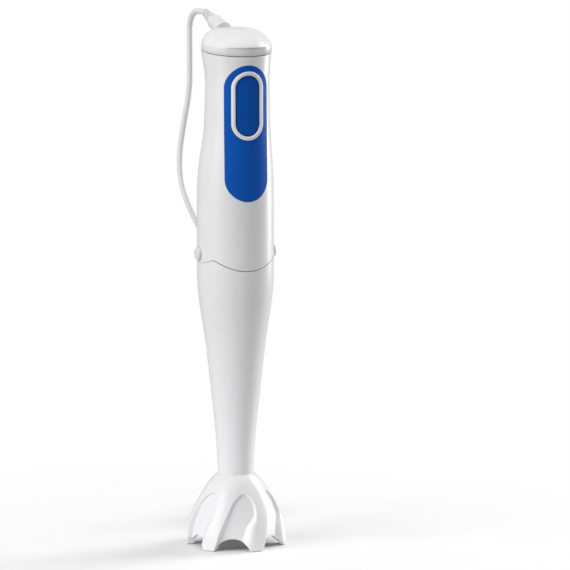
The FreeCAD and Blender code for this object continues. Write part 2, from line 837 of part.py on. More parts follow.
def build_coupling():
    """The plug that goes into the cup of the foot, and the latches on its two sides."""
    outer = "(cup_radius - fit_gap)"
    collar_top = f"({FLANGE_TOP} + collar_height)"
    sleeve_inner = "(collar_radius - collar_wall)"
    housing_inner = "(body_radius - shell_wall - press_gap)"
    deck = f"({PLUG_TOP} - 4)"
    blank = turned([
        (f"{outer} - plug_wall", PLUG_START),
        (outer, PLUG_START),
        (outer, PLUG_TOP),
        (housing_inner, PLUG_TOP),
        (housing_inner, FLANGE_TOP),
        ("collar_radius", FLANGE_TOP),
        ("collar_radius", collar_top),
        (sleeve_inner, collar_top),
        (sleeve_inner, FLANGE_TOP),
        ("rotor_radius + 1.5", FLANGE_TOP),
        ("rotor_radius + 1.5", deck),
        (sleeve_inner, deck),
        (sleeve_inner, PLUG_START),
        ("collar_radius", PLUG_START),
        ("collar_radius", deck),
        (f"{outer} - plug_wall", deck),
    ], "plug_blank")
    arm_slot = box(
        "collar_radius + 0.2", "body_radius + 2", "-slot_width / 2", "slot_width / 2",
        f"{PLUG_START} - 1", f"{FLANGE_TOP} + 1",
    )
    boss_y = "(collar_radius + 2.4)"
    screw_way = fuse(
        rod("1.4", f"{PLUG_TOP} - 5", f"{FLANGE_TOP} + 1", y=boss_y),
        rod("2.1", f"{PLUG_TOP} - 5", f"{PLUG_TOP} - 2", y=boss_y),
    )
    node("coupling_plug", cut(
        blank, arm_slot, mirrored(arm_slot), screw_way, mirrored(screw_way, Y_AXIS),
    ))
    screw = fuse(
        rod("1.25", f"{PLUG_TOP} - 2", f"{FLANGE_TOP} + 5", y=boss_y),
        rod("2.0", f"{PLUG_TOP} - 3.8", f"{PLUG_TOP} - 2", y=boss_y),
    )
    node("plug_screws", group(screw, mirrored(screw, Y_AXIS)))

    wide = "(slot_width / 2 - fit_gap)"
    plate_out = "(body_radius - shell_wall - 0.7)"
    plate_in = f"({plate_out} - 1.8)"
    arm_in = f"({plate_in} - 1.4)"
    pad = fuse(
        cross_rod("latch_radius", plate_in, "body_radius + latch_proud", ALONG_X, z=LATCH_HEIGHT),
        box(plate_in, plate_out, f"-{wide}", wide,
            f"{LATCH_HEIGHT} - latch_rise + fit_gap", f"{LATCH_HEIGHT} + 5"),
    )
    rounded = doc.addObject("Part::Chamfer", "pad_edge")
    doc.recompute()
    rounded.Base = pad
    rounded.Edges = [
        (index, 0.8, 0.8)
        for index, edge in enumerate(pad.Shape.Edges, start=1)
        if edge.BoundBox.XMin > size("body_radius + latch_proud") - 0.01
    ]
    hook_out = "(cup_radius + hook_reach)"
    hook = fuse(
        box(arm_in, plate_in, f"-{wide}", wide, f"{HOOK_LEVEL} - 2", f"{LATCH_HEIGHT} + 5"),
        prism([
            (arm_in, f"{HOOK_LEVEL} - 2"),
            (f"{plate_in} + 0.3", f"{HOOK_LEVEL} - 2"),
            (hook_out, f"{HOOK_LEVEL} + 1"),
            (hook_out, f"{HOOK_LEVEL} + hook_height"),
            (arm_in, f"{HOOK_LEVEL} + hook_height"),
        ], f"-{wide}", wide, "XZ_Plane", "hook_nose"),
    )
    spring = coil_spring(
        "1.7", "0.25", f"{arm_in} - collar_radius - 0.2", "3", ALONG_X,
        x="collar_radius + 0.2", z=f"{PLUG_TOP} - 1.8",
    )
    for side, turn in (("right", None), ("left", X_AXIS)):
        for name, item in (("release_button", rounded), ("latch_hook", hook), ("release_spring", spring)):
            node(f"{side}_{name}", item if turn is None else mirrored(item))


# ---- the motor ----


def build_motor():
    """What stands still in the motor."""
    inner = "(can_radius - can_wall)"
    bearing = "rotor_radius + running_gap"
    node("lower_motor_mount", ring(
        "can_radius - 0.4", "can_radius - 5", f"{CAN_START} - 1", CAN_START, "lower_mount",
    ))
    node("motor_can", turned([
        ("5", CAN_START),
        ("can_radius - 0.8", CAN_START),
        ("can_radius", f"{CAN_START} + 0.8"),
        ("can_radius", CAN_TOP),
        (inner, CAN_TOP),
        (inner, f"{CAN_START} + can_wall"),
        ("6.2", f"{CAN_START} + can_wall"),
        ("6.2", f"{CAN_START} + 5"),
        ("5", f"{CAN_START} + 5"),
    ], "motor_can"))
    node("lower_bearing", ring("5", bearing, f"{CAN_START} + 0.2", f"{CAN_START} + 5", "lower_bearing"))
    arc = cut(
        ring(inner, f"{inner} - 2.8", f"{CORE_LOW} - 1", f"{CORE_LOW} + armature_length + 1"),
        box("-can_radius", "can_radius", "-5", "5", CAN_START, CAN_TOP),
    )
    node("motor_magnets", arc)
    half = "3.4"
    holder = box("commutator_radius + 1.4", f"{inner} - 0.6", f"-{half}", half, BRUSH_LOW, f"{CAN_TOP} + 5")
    channel = box(
        "commutator_radius", f"{inner} - 0.6", "-2.55", "2.55",
        f"{BRUSH_LOW} + 1", f"{BRUSH_LOW} + 5.1",
    )
    plate = turned([
        ("6", f"{CAN_TOP} + 5"),
        (inner, f"{CAN_TOP} + 5"),
        (inner, CAN_TOP),
        ("can_radius", CAN_TOP),
        ("can_radius", ENDCAP_TOP),
        ("6", ENDCAP_TOP),
    ], "endcap_plate")
    node("brush_endcap", cut(
        fuse(plate, holder, mirrored(holder)),
        channel,
        mirrored(channel),
        rod("6", CAN_TOP, f"{ENDCAP_TOP} + 1"),
    ))
    brush = box(
        "commutator_radius + running_gap", "commutator_radius + 6", "-2.5", "2.5",
        f"{BRUSH_LOW} + 1.05", f"{BRUSH_LOW} + 5.05",
    )
    node("carbon_brushes", group(brush, mirrored(brush)))
    spring = coil_spring(
        "1.5", "0.2", f"{inner} - 0.6 - commutator_radius - 6", "4", ALONG_X,
        x="commutator_radius + 6", z=f"{BRUSH_LOW} + 3",
    )
    node("brush_springs", group(spring, mirrored(spring)))
    node("upper_bearing", ring(
        "6", bearing, f"{CAN_TOP} + 5", f"{ENDCAP_TOP} + 1", "upper_bearing",
    ))
    node("upper_motor_mount", ring(
        "can_radius + 3.2", "can_radius", f"{CAN_TOP} + 1", f"{ENDCAP_TOP} - 1", "upper_mount",
    ))


def build_rotor():
    """What turns in the handle: dog, shaft, fan, armature and commutator."""
    dog_low = f"({PLUG_START} + 5.5)"
    shaft_low = f"({dog_low} + 4)"
    node("rotor_shaft", rod("rotor_radius", shaft_low, f"{ENDCAP_TOP} + 2"))
    hexagon = doc.addObject("Part::Prism", "dog_blank")
    hexagon.Polygon = 6
    bind(hexagon, "Circumradius", "drive_flats / sqrt(3)")
    bind(hexagon, "Height", "13")
    place(hexagon, z=dog_low)
    node("drive_dog", cut(hexagon, rod("rotor_radius", shaft_low, f"{dog_low} + 14")))
    fan_low = f"({FLANGE_TOP} + 1)"
    disc = ring("collar_radius - collar_wall - 0.8", "rotor_radius", fan_low, f"{fan_low} + 0.8")
    hub = ring("rotor_radius + 1.5", "rotor_radius", fan_low, f"{fan_low} + 3.6")
    vanes = []
    for i in range(4):
        vane = box(
            "-collar_radius + collar_wall + 1.2", "collar_radius - collar_wall - 1.2", "-0.4", "0.4",
            fan_low, f"{fan_low} + 3.4",
        )
        blade = cut(vane, rod("rotor_radius + 1", fan_low, f"{fan_low} + 4"))
        vanes.append(aim(blade, FreeCAD.Rotation(Z_AXIS, i * 45)))
    node("cooling_fan", fuse(disc, hub, *vanes))
    core_top = f"({CORE_LOW} + armature_length)"
    core = ring("armature_radius", "rotor_radius", CORE_LOW, core_top, "core")
    slots = []
    for i in range(5):
        angle = math.radians(i * FULL_TURN / 5)
        across = f"(armature_radius - 2.6) * {math.sin(angle):.5f}"
        along = f"(armature_radius - 2.6) * {math.cos(angle):.5f}"
        slots.append(rod("2.4", f"{CORE_LOW} - 1", f"{core_top} + 1", across, along))
    node("armature_core", cut(core, *slots))
    ends = []
    for low, high in ((f"{CORE_LOW} - 2.4", CORE_LOW), (core_top, f"{core_top} + 4")):
        ends.append(turned([
            ("rotor_radius", low),
            ("armature_radius - 4", low),
            ("armature_radius - 2", f"({low} + {high}) / 2"),
            ("armature_radius - 4", high),
            ("rotor_radius", high),
        ], "end_turns"))
    node("armature_windings", group(*ends))
    node("commutator", ring(
        "commutator_radius", "rotor_radius", f"{BRUSH_LOW} - 0.5", f"{BRUSH_LOW} + 6", "commutator",
    ))


# ---- switch and electronics ----


def build_controls():
    """The circuit board on its carrier, and the power button in front of it."""
    half = "(board_width / 2)"
    window = box("-3", "3", "-1", "5", f"{BOARD_TOP} - 12", f"{BOARD_TOP} - 5")
    wall = box(f"-{half} - 1", f"{half} + 1", "0", "2", ENDCAP_TOP, f"{BOARD_TOP} + 4")
    shelf = box("-12", "12", "0", "10", f"{BOARD_TOP} + 2", f"{BOARD_TOP} + 4")
    base = ring("can_radius + 2", "9", ENDCAP_TOP, f"{ENDCAP_TOP} + 2")
    wire_hole = rod("2.6", BOARD_TOP, f"{BOARD_TOP} + 9", y="5.5")
    screw_place = [(side * 10, 44.0) for side in (1, -1)]
    screws = []
    holes = []
    for x, up in screw_place:
        height = f"{BOARD_BOTTOM} + {up}"
        shank = cross_rod("1.0", BOARD_FRONT, "1.9", ALONG_Y, x=f"{x}", z=height)
        head = cross_rod("1.9", f"{BOARD_FRONT} - 1.4", BOARD_FRONT, ALONG_Y, x=f"{x}", z=height)
        screws.append(fuse(shank, head))
        holes.append(cross_rod("1.0", f"{BOARD_FRONT} - 1", "3", ALONG_Y, x=f"{x}", z=height))
    clamp_top = f"({BOARD_TOP} + 8)"
    clamp_holes = []
    clamp_screws = []
    for x in ("6", "-6"):
        clamp_holes.append(rod("1.1", f"{BOARD_TOP} + 1", f"{clamp_top} + 2", x, "5.5"))
        clamp_screws.append(fuse(
            rod("1.1", f"{BOARD_TOP} + 2.2", clamp_top, x, "5.5"),
            rod("2.0", clamp_top, f"{clamp_top} + 1.4", x, "5.5"),
        ))
    bearing_hole = rod("7", ENDCAP_TOP, f"{ENDCAP_TOP} + 4")
    node("board_carrier", cut(
        fuse(wall, shelf, base), window, wire_hole, *holes, *clamp_holes, bearing_hole,
    ))
    node("circuit_board", cut(
        box(f"-{half}", half, BOARD_FRONT, "0", BOARD_BOTTOM, BOARD_TOP), *holes,
    ))
    node("board_screws", group(*screws))
    node("cord_clamp", cut(
        box("-9", "9", "2", "9", f"{BOARD_TOP} + 4", clamp_top), wire_hole, *clamp_holes,
    ))
    node("clamp_screws", group(*clamp_screws))
    node("capacitor", rod("5", f"{BOARD_BOTTOM} + 1", f"{BOARD_BOTTOM} + 12", "-6.5", f"{BOARD_FRONT} - 5.2"))
    node("rectifier", box(
        "3", "11", f"{BOARD_FRONT} - 4", BOARD_FRONT, f"{BOARD_BOTTOM} + 2", f"{BOARD_BOTTOM} + 10",
    ))
    push = "-12"
    switch_front = f"({BOARD_FRONT} - 7.4)"
    switch = box("-6.5", "6.5", switch_front, BOARD_FRONT, f"{BUTTON_MIDDLE} - 6.5", f"{BUTTON_MIDDLE} + 6.5")
    pocket = box(
        "-2.1", "2.1", f"{switch_front} - 1", f"{switch_front} + button_travel + 1",
        f"{BUTTON_MIDDLE} - 2.6", f"{BUTTON_MIDDLE} + 2.6",
    )
    node("switch_body", cut(switch, pocket))
    node("switch_plunger", box(
        "-2", "2", push, f"{switch_front} + 0.4", f"{BUTTON_MIDDLE} - 2.5", f"{BUTTON_MIDDLE} + 2.5",
    ))
    gap = "2 * fit_gap"
    width = f"(bezel_width - 2 * bezel_band - {gap})"
    low = f"({BEZEL_LOW} + bezel_band + fit_gap)"
    high = f"({BEZEL_HIGH} - bezel_band - fit_gap)"
    stem = box(
        "-2.5", "2.5", "-body_radius + shell_wall + 1", push, f"{BUTTON_MIDDLE} - 3", f"{BUTTON_MIDDLE} + 3",
    )
    node("power_button", fuse(
        patch(width, low, high, "button_sunk", "shell_wall + 1.4"),
        patch(f"({width} + 2.4)", f"({low} - 1.2)", f"({high} + 1.2)",
              "shell_wall + fit_gap", "shell_wall + 1.4"),
        stem,
    ))
    back = "(body_radius - shell_wall - 2)"
    node("button_spring", coil_spring(
        "3", "0.3", f"{back} - board_thick", "8", ALONG_Y,
        y=f"-{back}", z=f"{BEZEL_LOW} + bezel_band + 6.5",
    ))


def build_wires():
    """Insulated wires inside the handle."""
    top = size(BOARD_TOP)
    down = V(*ROOT_DIRECTION).normalize()
    root = V(*EXIT_START) + down * (size("guard_root") + 0.1)
    wires = []
    for side in (-1.3, 1.3):
        route = [
            (root.x + side, root.y, root.z),
            (root.x + side, root.y + down.y * 3, root.z + down.z * 3),
            (side, 5.6, top + 12),
            (side, 5.4, top + 3),
            (side, 5.5, top - 3),
            (side, 4.4, top - 8),
            (side, 0.1, top - 8.6),
        ]
        wires.append(tube(route, 0.9)[0])
    made(Part.makeCompound(wires), "lead_wires")
    node("motor_leads", group(*[
        rod("0.8", ENDCAP_TOP, BOARD_BOTTOM, f"{x}", "-board_thick / 2") for x in (7.6, -7.6)
    ]))


# ---- the mains cord ----


def build_cord():
    """Strain relief, free cord, the folded rest of it with its tie, and the mains plug."""
    start = V(*EXIT_START)
    end = V(*CORD_ROUTE[0])
    out = (end - start).normalize()
    collar = size("guard_collar")
    length = (end - start).Length - collar
    neck = size("guard_neck_radius")
    tip = size("guard_end_radius")
    grooves = round(size("guard_grooves"))
    groove_width = size("groove_width")
    narrow = size("groove_bridge")
    across = 4 * neck
    guard = guard_body(0.0)
    for i in range(grooves):
        share = (i + 0.7) / (grooves + 0.9)
        radius = neck + (tip - neck) * share - size("groove_depth")
        outer = Part.makeCylinder(across / 2, groove_width)
        groove = outer.cut(Part.makeCylinder(radius, groove_width))
        wide, deep = (narrow, across) if i % 2 else (across, narrow)
        groove = groove.cut(Part.makeBox(wide, deep, groove_width, V(-wide / 2, -deep / 2, 0)))
        groove.Placement = FreeCAD.Placement(
            start + out * (collar + length * share), FreeCAD.Rotation(Z_AXIS, out),
        )
        guard = guard.cut(groove)
    made(guard, "strain_relief")

    radius = size("cord_radius")
    shape, route_length, radii = tube(CORD_ROUTE, radius)
    made(shape, "cord")
    area = math.pi * radius ** 2
    print("cord length", round(route_length, 1), "volume share", round(shape.Volume / area / route_length, 4))
    print("cord radii", [round(r, 1) for r in radii])

    near = V(*CORD_ROUTE[-1])
    along = near - V(*CORD_ROUTE[-2])
    along.z = 0
    along.normalize()
    heading = FreeCAD.Rotation(X_AXIS, along)
    floor_point = V(near.x, near.y, 0)

    def lay(shape, label):
        shape.Placement = FreeCAD.Placement(floor_point, heading)
        made(shape, label)

    half = HANK_WIDTH / 2
    bundle = Part.makeBox(HANK_LENGTH - half, HANK_WIDTH, HANK_HEIGHT, V(0, -half, 0))
    end_turn = Part.makeCylinder(half, HANK_HEIGHT, V(HANK_LENGTH - half, 0, 0))
    bundle = bundle.fuse(end_turn).removeSplitter()
    upright = [e for e in bundle.Edges if e.BoundBox.ZLength > HANK_HEIGHT - 0.1 and e.BoundBox.XMax < 1]
    bundle = bundle.makeFillet(half * 0.7, upright)
    level = [e for e in bundle.Edges if e.BoundBox.ZMin > HANK_HEIGHT - 0.1]
    bundle = bundle.makeFillet(radius, level)
    middle = HANK_LENGTH / 2
    tie_outer = Part.makeBox(TIE_WIDTH, HANK_WIDTH + 2 * TIE_THICK, HANK_HEIGHT + TIE_THICK,
                             V(middle, -half - TIE_THICK, 0))
    lay(tie_outer.cut(bundle), "cord_tie")
    lay(bundle, "cord_hank")
    wide, long, thick = MAINS_PLUG
    plug_end = middle - 2
    body = Part.makeBox(long, wide, thick, V(plug_end - long, -wide / 2, HANK_HEIGHT))
    corners = [e for e in body.Edges if e.BoundBox.ZLength > thick - 0.1]
    body = body.makeFillet(wide / 4, corners)
    rims = [e for e in body.Edges if e.BoundBox.ZMin > HANK_HEIGHT + thick - 0.1]
    body = body.makeFillet(2.5, rims)
    lay(body, "plug_body")
    pin_wide, pin_long, pin_thick = BLADE_PIN
    pins = []
    for side in (-1, 1):
        place_y = side * PIN_SPACING / 2 - pin_thick / 2
        low = HANK_HEIGHT + (thick - pin_wide) / 2
        pins.append(Part.makeBox(pin_long, pin_thick, pin_wide, V(plug_end - long - pin_long, place_y, low)))
    lay(Part.makeCompound(pins), "plug_pins")


# ---- all pieces ----

build_foot()
build_bell()
build_drive()
build_shell()
build_cap()
build_coupling()
build_motor()
build_rotor()
build_controls()
build_wires()
build_cord()
doc.recompute()


def check_all():
    """Stops if any feature failed or a piece has no sound shape."""
    failed = [o.Label for o in doc.Objects if {"Invalid", "Error"} & set(o.State)]
    if failed:
        raise RuntimeError(f"features that failed: {failed}")
    for item in nodes:
        if item.Shape.isNull() or not item.Shape.isValid() or not item.Shape.Solids:
            raise RuntimeError(f"{item.Label} has no sound shape")


check_all()
os.makedirs("parts", exist_ok=True)
for item in nodes:
    item.Shape.exportStep(os.path.join("parts", item.Label + ".step"))
print(len(nodes), "pieces written")
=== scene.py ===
import json
import math

import bpy
import numpy as np
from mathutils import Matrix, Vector


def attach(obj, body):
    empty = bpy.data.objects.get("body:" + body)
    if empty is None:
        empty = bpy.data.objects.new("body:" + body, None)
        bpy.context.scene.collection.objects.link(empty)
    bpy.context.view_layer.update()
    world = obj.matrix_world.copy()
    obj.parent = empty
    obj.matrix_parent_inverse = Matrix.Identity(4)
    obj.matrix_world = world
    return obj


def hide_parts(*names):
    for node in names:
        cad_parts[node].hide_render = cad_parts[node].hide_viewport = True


# An immersion blender, in metres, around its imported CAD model. +Z up; the power button faces -Y.

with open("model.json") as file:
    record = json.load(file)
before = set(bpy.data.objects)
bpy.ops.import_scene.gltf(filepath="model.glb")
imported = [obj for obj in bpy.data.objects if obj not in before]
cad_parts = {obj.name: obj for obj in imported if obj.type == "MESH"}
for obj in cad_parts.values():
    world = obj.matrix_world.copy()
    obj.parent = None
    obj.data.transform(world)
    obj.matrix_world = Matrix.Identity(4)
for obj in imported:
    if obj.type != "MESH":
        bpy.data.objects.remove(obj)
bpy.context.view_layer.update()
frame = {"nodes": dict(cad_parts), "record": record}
NODES = frame["nodes"]
MM = 0.001

# Sizes that follow the CAD model, in millimetres.
BODY_RADIUS = 25.4
NECK_RADIUS = 11.9
BELL_HEIGHT = 47.8
BELL_RADIUS = 33.0
BELL_WALL = 2.2
ROOF_HEIGHT = 43.8
ARCH_HEIGHT = 7.6
ARCH_RADIUS = 14.0
RIM_TURN = -24.0
PETALS = 6
SEAM_FRONT = 184.7
GRIP_TOP = 325.3
GRIP_CURVE = [
    (-0.05, 0.0),
    (0.04, 0.0),
    (0.13, 0.0),
    (0.22, 0.0),
    (0.31, 0.0),
    (0.39, 0.2),
    (0.465, 0.75),
    (0.55, 1.95),
    (0.635, 3.25),
    (0.73, 3.85),
    (0.83, 4.25),
    (0.92, 3.95),
    (0.98, 2.95),
    (1.03, 2.2),
]
CORD_RADIUS = 2.0
# The route of the mains cord, as in the CAD source.
CORD_ROUTE = [
    (-4.8, 45.5, 350.6),
    (-5.6, 52.6, 351.0),
    (-6.4, 60.0, 350.2),
    (-7.0, 66.0, 347.0),
    (-7.3, 69.2, 340.6),
    (-7.2, 69.0, 330.0),
    (-7.2, 68.8, 314.0),
    (-7.3, 69.0, 297.5),
    (-10.9, 71.6, 273.5),
    (-13.4, 73.4, 254.0),
    (-13.8, 70.0, 234.5),
    (-9.2, 61.2, 215.0),
    (1.0, 55.2, 194.0),
    (10.5, 52.8, 168.0),
    (16.5, 53.0, 134.0),
    (19.0, 50.0, 98.0),
    (18.0, 43.5, 64.0),
    (14.5, 36.5, 40.0),
    (13.8, 36.2, 26.0),
    (15.0, 39.5, 13.5),
    (17.8, 47.2, 6.0),
    (21.0, 56.5, 2.1),
    (24.2, 65.5, 2.1),
]


# ---- camera ----

CAMERA_DISTANCE = 2.7
CAMERA_HEIGHT = 0.525
CAMERA_AZIMUTH = math.radians(-20)
AIM_RIGHT = 0.0327
AIM_HEIGHT = 0.173
LENS = 260.56


def build_camera():
    camera = bpy.data.objects.new("camera", bpy.data.cameras.new("camera"))
    bpy.context.scene.collection.objects.link(camera)
    camera.data.lens = LENS
    camera.data.sensor_width = 36.0
    camera.data.clip_end = 50.0
    turn = CAMERA_AZIMUTH
    camera.location = (math.sin(turn) * CAMERA_DISTANCE, -math.cos(turn) * CAMERA_DISTANCE, CAMERA_HEIGHT)
    target = Vector((math.cos(turn) * AIM_RIGHT, math.sin(turn) * AIM_RIGHT, AIM_HEIGHT))
    camera.rotation_mode = "QUATERNION"
    camera.rotation_quaternion = (target - camera.location).to_track_quat("-Z", "Y")
    bpy.context.scene.camera = camera


# ---- materials ----


def node_in(tree, kind, **inputs):
    """A shader node with its inputs set by name, with _ for a space."""
    made = tree.nodes.new(kind)
    for name, value in inputs.items():
        socket = made.inputs[name.replace("_", " ")]
        if isinstance(value, bpy.types.NodeSocket):
            tree.links.new(value, socket)
        else:
            socket.default_value = value
    return made


def noise(tree, coordinates, scale, detail=3.0, roughness=0.5):
    made = node_in(tree, "ShaderNodeTexNoise", Vector=coordinates, Scale=scale, Detail=detail)
    made.inputs["Roughness"].default_value = roughness
    return made.outputs["Fac"]


def between(tree, value, low, high, start=0.3, end=0.7):
    """A number that goes from low to high as value goes from start to end."""
    made = node_in(tree, "ShaderNodeMapRange", Value=value)
    for name, number in (("From Min", start), ("From Max", end), ("To Min", low), ("To Max", high)):
        made.inputs[name].default_value = number
    return made.outputs["Result"]


def tinted(tree, factor, first, second):
    made = node_in(tree, "ShaderNodeMix")
    made.data_type = "RGBA"
    tree.links.new(factor, made.inputs["Factor"])
    made.inputs["A"].default_value = (*first, 1.0)
    made.inputs["B"].default_value = (*second, 1.0)
    return made.outputs["Result"]


def surface(name, colour, rough, grain, bump, spread=0.03, patches=35.0, stretch=(1, 1, 1), **sockets):
    """A material with slow changes of colour, finer changes of gloss and a fine grain in its bump.

    rough is the range of roughness, grain the scale of the bump per metre, bump its height in
    metres, and spread how far the colour drifts.
    """
    material = bpy.data.materials.new(name)
    material.use_nodes = True
    tree = material.node_tree
    shader = tree.nodes["Principled BSDF"]
    space = tree.nodes.new("ShaderNodeTexCoord").outputs["Object"]
    mapping = node_in(tree, "ShaderNodeMapping", Vector=space)
    mapping.inputs["Scale"].default_value = stretch
    spot = mapping.outputs["Vector"]
    darker = tuple(channel * (1 - spread) for channel in colour)
    slow = between(tree, noise(tree, spot, patches, 2.0), 0.0, 1.0)
    tree.links.new(tinted(tree, slow, darker, colour), shader.inputs["Base Color"])
    middle = noise(tree, spot, patches * 9, 4.0)
    tree.links.new(between(tree, middle, *rough), shader.inputs["Roughness"])
    fine = node_in(tree, "ShaderNodeBump", Height=noise(tree, spot, grain, 4.0, 0.6))
    fine.inputs["Strength"].default_value = 1.0
    fine.inputs["Distance"].default_value = bump
    tree.links.new(fine.outputs["Normal"], shader.inputs["Normal"])
    for socket, value in sockets.items():
        shader.inputs[socket.replace("_", " ")].default_value = value
    return material


MATERIALS = {}


def build_materials():
    """One material for each slot of the record."""
    made = {
        "white_plastic": surface(
            "white_plastic", (0.87, 0.87, 0.88), (0.27, 0.31), 1100, 0.0000012, 0.012,
            Specular_IOR_Level=0.5),
        "grey_plastic": surface(
            "grey_plastic", (0.80, 0.80, 0.82), (0.38, 0.5), 1800, 0.000004, 0.02),
        "blue_grip": surface(
            "blue_grip", (0.003, 0.10, 0.50), (0.48, 0.58), 4200, 0.00001, 0.05,
            Specular_IOR_Level=0.1),
        "blue_button": surface(
            "blue_button", (0.002, 0.092, 0.46), (0.44, 0.52), 4200, 0.00001, 0.05,
            Specular_IOR_Level=0.1),
        "silver_trim": surface(
            "silver_trim", (0.88, 0.90, 0.95), (0.18, 0.26), 1100, 0.000001, 0.02,
            Coat_Weight=0.6, Coat_Roughness=0.12),
        "bronze": surface(
            "bronze", (0.50, 0.33, 0.17), (0.38, 0.52), 6000, 0.00004, 0.12, Metallic=1.0),
        "black_rubber": surface(
            "black_rubber", (0.028, 0.028, 0.03), (0.55, 0.7), 3200, 0.00008, 0.2),
        "steel": surface(
            "steel", (0.60, 0.60, 0.61), (0.24, 0.36), 2400, 0.00002, 0.06, Metallic=1.0),
        "blade_steel": surface(
            "blade_steel", (0.68, 0.68, 0.69), (0.16, 0.3), 1600, 0.00003, 0.05,
            stretch=(1, 9, 1), Metallic=1.0, Anisotropic=0.4),
        "drive_plastic": surface(
            "drive_plastic", (0.10, 0.10, 0.11), (0.4, 0.5), 3000, 0.00003, 0.1),
        "magnet": surface(
            "magnet", (0.10, 0.095, 0.095), (0.5, 0.66), 5200, 0.00006, 0.2),
        "dark_plastic": surface(
            "dark_plastic", (0.05, 0.05, 0.055), (0.36, 0.48), 3000, 0.00003, 0.1),
        "board": surface(
            "board", (0.30, 0.21, 0.085), (0.4, 0.5), 900, 0.00003, 0.15),
        "cord_white": surface(
            "cord_white", (0.80, 0.80, 0.81), (0.42, 0.54), 1800, 0.000004, 0.03),
        "plated_pins": surface(
            "plated_pins", (0.72, 0.70, 0.66), (0.14, 0.24), 2800, 0.00001, 0.05, Metallic=1.0),
        "copper": surface(
            "copper", (0.66, 0.30, 0.14), (0.24, 0.4), 2400, 0.00006, 0.1,
            stretch=(1, 1, 6), Metallic=1.0),
    }
    MATERIALS.update(made)


def dress_nodes():
    """Each CAD node gets the material of its slot."""
    for part in frame["record"]["subparts"]:
        item = NODES[part["node"]]
        item.data.materials.clear()
        item.data.materials.append(MATERIALS[part["material_slot"]])


# ---- mesh helpers ----


def piece(name, points, faces, slot, body, *nodes, smooth=True):
    """A mesh piece from points in millimetres, riding on a body and standing for CAD nodes."""
    mesh = bpy.data.meshes.new(name)
    mesh.from_pydata([Vector(p) * MM for p in points], [], faces)
    mesh.validate()
    mesh.update()
    item = bpy.data.objects.new(name, mesh)
    bpy.context.scene.collection.objects.link(item)
    if smooth:
        mesh.shade_smooth()
    mesh.materials.append(MATERIALS[slot])
    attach(item, body)
    if nodes:
        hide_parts(*nodes)
    return item


def bands(rows, closed=True):
    """Quads between rows of equally many points; closed joins each row's end to its start."""
    count = len(rows[0])
    faces = []
    for row in range(len(rows) - 1):
        for i in range(count if closed else count - 1):
            j = (i + 1) % count
            low, high = row * count, (row + 1) * count
            faces.append((low + i, low + j, high + j, high + i))
    return faces


def smoothstep(value):
    value = np.clip(value, 0.0, 1.0)
    return value * value * (3 - 2 * value)


# ---- the blade guard ----

SCOOP_TOP = 36.7
SCOOP_SHOULDER = 27.0
# Heights and the angles of a hollow's left and right edges there, from the front, in degrees.
SCOOP_HEIGHTS = (0.0, 7.0, 14.0, 20.0, 27.0, 36.7)
SCOOP_LEFT = (-45.6, -42.4, -38.6, -34.4, -28.6, -22.0)
SCOOP_RIGHT = (-1.6, 2.0, 5.4, 8.2, 10.2, 10.8)
STEP_WIDTH = 0.8
BELL_STEPS = 600


def bell_outside(angles, heights):
    """Radius of the guard's outside at angles from the front, in degrees, and heights."""
    down = 1 - heights / BELL_HEIGHT
    radius = NECK_RADIUS + (BELL_RADIUS - NECK_RADIUS) * np.sin(np.pi / 2 * np.clip(down, 0, 1) ** 0.8)
    left = np.interp(heights, SCOOP_HEIGHTS, SCOOP_LEFT)
    right = np.interp(heights, SCOOP_HEIGHTS, SCOOP_RIGHT)
    middle = (left + right) / 2
    half = np.radians(right - left) / 2 * radius
    spacing = 360 / PETALS
    offset = (angles - middle + spacing / 2) % spacing - spacing / 2
    across = np.radians(offset) * radius
    rise = np.clip((heights - SCOOP_SHOULDER) / (SCOOP_TOP - SCOOP_SHOULDER), 0, None)
    inside = 1 - (across / half) ** 2 - rise ** 2
    slope = np.hypot(2 * across / half ** 2, 2 * rise / (SCOOP_TOP - SCOOP_SHOULDER)) + 1e-6
    distance = inside / slope
    share = heights / SCOOP_TOP
    soft = np.where(across > 0, smoothstep((24 - heights) / 12), 0.0)
    step = smoothstep(distance / (STEP_WIDTH + soft * (half - STEP_WIDTH)))
    bowl = 0.72 + 0.28 * np.clip(1 - (across / half) ** 2, 0, 1)
    depth = (6.0 - 3.6 * np.clip(share, 0, 1)) * step * bowl
    flute = 1.1 * smoothstep(down / 0.3) * (1 + np.cos(np.radians(offset) * PETALS)) / 2
    return radius - depth - flute * (1 - step)


def bell_rim(angles, radius):
    """Height of the guard's lower edge, arched between the petals."""
    spacing = 360 / PETALS
    offset = (angles - RIM_TURN + spacing / 2) % spacing - spacing / 2
    across = radius * np.sin(np.radians(offset))
    level = ARCH_HEIGHT - ARCH_RADIUS
    chord = np.clip(ARCH_RADIUS ** 2 - across ** 2, 0, None)
    return np.clip(level + np.sqrt(chord), 0, None)


def shrunk(radii, angles, wall):
    """The curve that lies one wall inside a wavy outline."""
    least = radii - wall
    step = math.radians(angles[1] - angles[0])
    reach = int(wall / (radii.mean() * step))
    for shift in range(-reach, reach + 1):
        aside = abs(shift) * radii.mean() * step
        least = np.minimum(least, np.roll(radii, shift) - math.sqrt(max(wall ** 2 - aside ** 2, 0)))
    return least


def ring_points(radii, angles, heights):
    turn = np.radians(angles)
    return list(zip(radii * np.sin(turn), -radii * np.cos(turn), np.broadcast_to(heights, radii.shape)))


